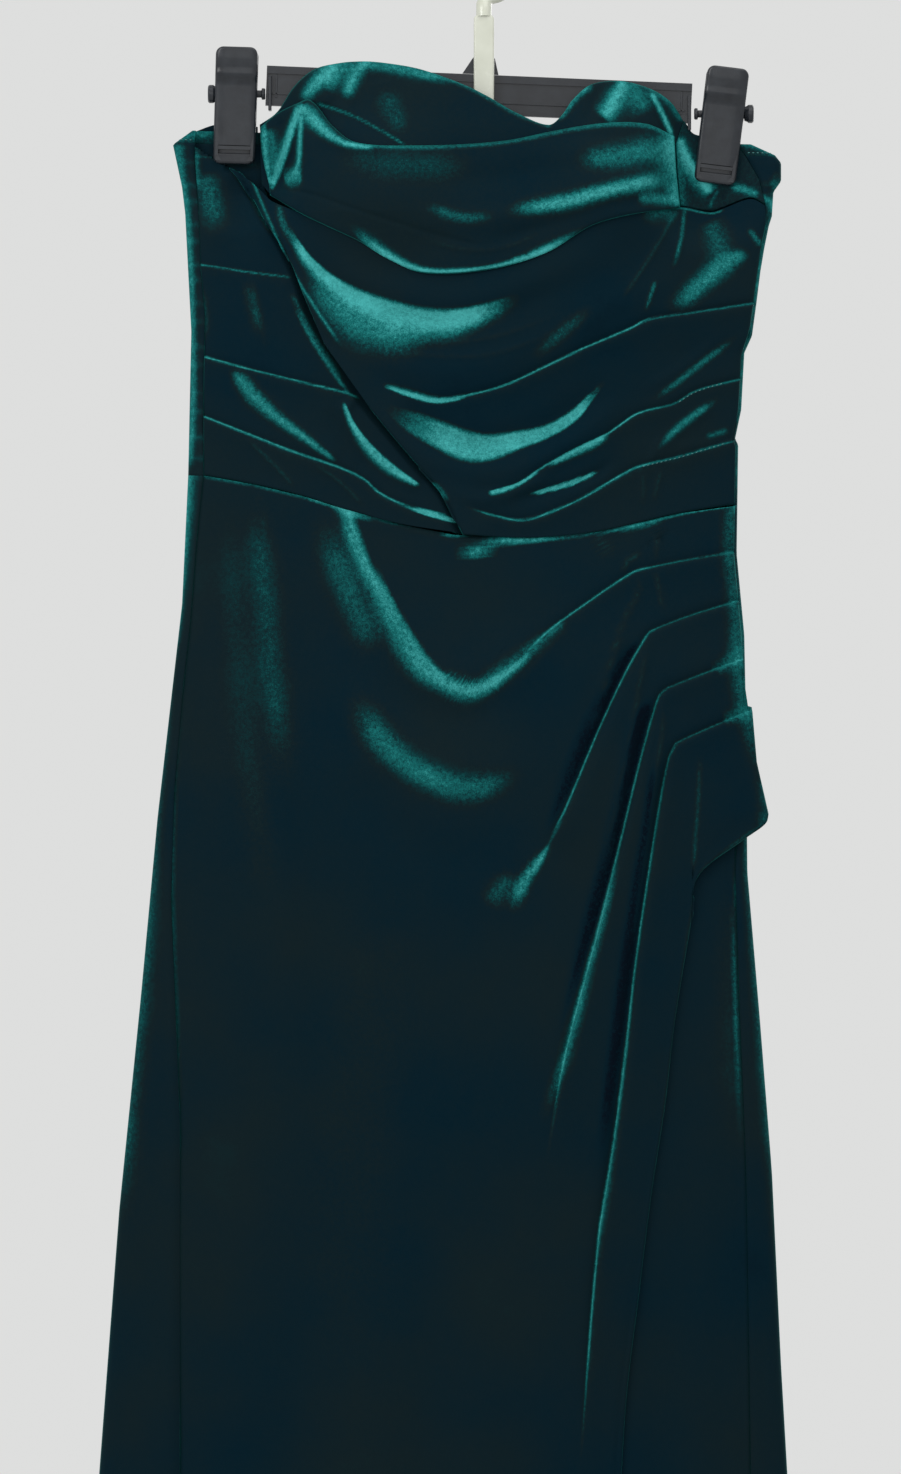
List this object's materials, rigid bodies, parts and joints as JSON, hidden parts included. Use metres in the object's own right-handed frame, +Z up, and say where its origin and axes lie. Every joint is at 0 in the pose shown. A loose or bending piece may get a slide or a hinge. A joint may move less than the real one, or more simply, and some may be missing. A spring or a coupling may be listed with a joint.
{
  "type": "strapless dress on clip hanger",
  "caption": "Long strapless draped velvet dress with a cowl, ruched bodice and pleated wrap skirt, hung flat by two clips on a bar hanger.",
  "frame": {"origin": "inside top of the hanger's hook, where it rests on the rod", "axes": "+Z up along the dress, +X to the right seen from the front, -Y out of the dress's front"},
  "size_m": [0.507, 0.0786, 1.467],
  "materials": {
    "velvet": "deep green stretch velvet, short nap with a teal sheen along the folds",
    "black_plastic": "moulded black plastic, semi-gloss",
    "cream_plastic": "moulded cream plastic, glossy"
  },
  "bodies": {
    "root": {"bodice_front": "velvet", "bodice_side_left": "velvet", "bodice_side_right": "velvet", "bust_front": "velvet", "bust_cowl": "velvet", "back_band": "velvet", "bodice_back": "velvet", "skirt_back": "velvet", "skirt_wrap": "velvet", "skirt_under": "velvet", "hanger_bar": "black_plastic", "hanger_gusset": "black_plastic", "hook_shank": "cream_plastic", "hook_bend": "cream_plastic", "clip_left_front": "black_plastic", "clip_left_back": "black_plastic", "clip_left_pin": "black_plastic", "clip_right_front": "black_plastic", "clip_right_back": "black_plastic", "clip_right_pin": "black_plastic"}
  },
  "joints": []
}
